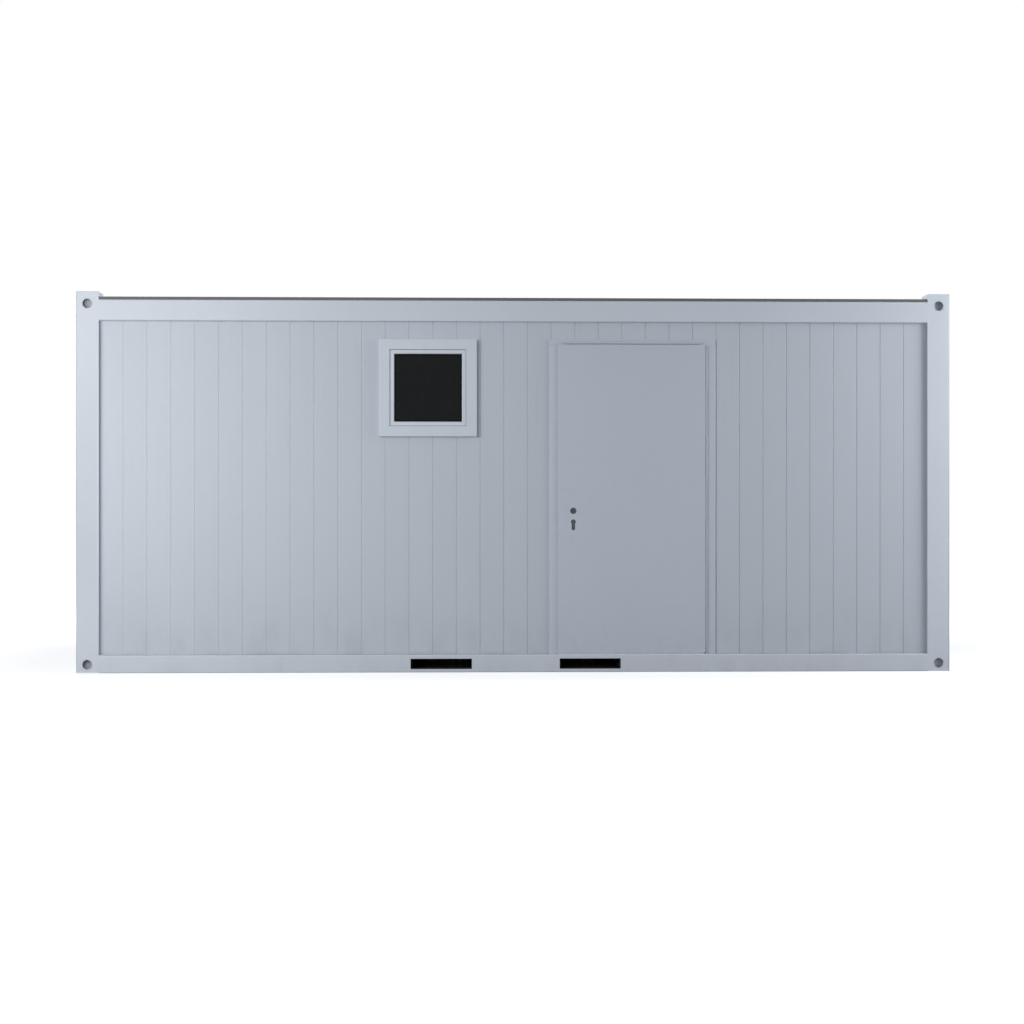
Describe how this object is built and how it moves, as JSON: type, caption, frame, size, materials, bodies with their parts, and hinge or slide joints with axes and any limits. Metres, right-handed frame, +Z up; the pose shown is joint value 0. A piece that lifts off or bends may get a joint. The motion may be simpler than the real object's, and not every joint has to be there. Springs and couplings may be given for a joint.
{
  "type": "toilet block",
  "caption": "Steel-framed toilet cabin with grooved wall panels, a small square window, an outward-opening door, corner fittings for lifting and fork pockets through the floor frame.",
  "frame": {"origin": "ground level under the middle of the cabin", "axes": "+X along the long front to the right, +Y from the front to the back, +Z up"},
  "size_m": [6, 2.4, 2.605],
  "materials": {
    "frame_paint": "satin pale blue-grey paint on steel",
    "wall_paint": "satin pale blue-grey coated sheet",
    "door_paint": "satin pale blue-grey paint on steel",
    "pocket_steel": "dark paint inside the fork pockets",
    "galvanised_steel": "dull zinc",
    "floor_board": "raw board",
    "floor_vinyl": "sheet vinyl",
    "ceiling_white": "white lining",
    "seal_rubber": "black seal strip",
    "window_plastic": "pale grey window profile",
    "window_glass": "dark glass",
    "sill_aluminium": "mill finish",
    "hinge_steel": "zinc-plated steel"
  },
  "bodies": {
    "cabin": {"corner_post_front_left": "frame_paint", "corner_post_front_right": "frame_paint", "corner_post_back_right": "frame_paint", "corner_post_back_left": "frame_paint", "bottom_corner_fitting_front_left": "frame_paint", "bottom_corner_fitting_front_right": "frame_paint", "bottom_corner_fitting_back_right": "frame_paint", "bottom_corner_fitting_back_left": "frame_paint", "top_corner_fitting_front_left": "frame_paint", "top_corner_fitting_front_right": "frame_paint", "top_corner_fitting_back_right": "frame_paint", "top_corner_fitting_back_left": "frame_paint", "front_bottom_rail": "frame_paint", "right_bottom_rail": "frame_paint", "back_bottom_rail": "frame_paint", "left_bottom_rail": "frame_paint", "front_top_rail": "frame_paint", "right_top_rail": "frame_paint", "back_top_rail": "frame_paint", "left_top_rail": "frame_paint", "left_fork_pocket": "pocket_steel", "right_fork_pocket": "pocket_steel", "floor_joists": "galvanised_steel", "floor_deck": "floor_board", "floor_covering": "floor_vinyl", "ceiling": "ceiling_white", "roof_sheet": "galvanised_steel", "roof_edge_seal": "seal_rubber", "front_wall_left": "wall_paint", "front_wall_window": "wall_paint", "front_wall_middle": "wall_paint", "front_wall_over_door": "wall_paint", "front_wall_right": "wall_paint", "back_wall": "wall_paint", "left_wall": "wall_paint", "right_wall": "wall_paint", "window_frame": "window_plastic", "window_sash": "window_plastic", "window_pane": "window_glass", "door_left_jamb": "door_paint", "door_right_jamb": "door_paint", "door_head": "door_paint", "drip_strip": "door_paint", "door_sill": "sill_aluminium", "hinge_frame_plate": "hinge_steel", "hinge_pin": "hinge_steel"},
    "door": {"door_leaf": "door_paint", "door_lock": "hinge_steel", "hinge_door_plate": "hinge_steel"}
  },
  "joints": [
    {"name": "door_hinge", "type": "hinge", "parent": "cabin", "child": "door", "pos_m": [1.316, -1.187, 1.2], "axis": [0, 0, 1], "range_deg": [0, 120]}
  ]
}
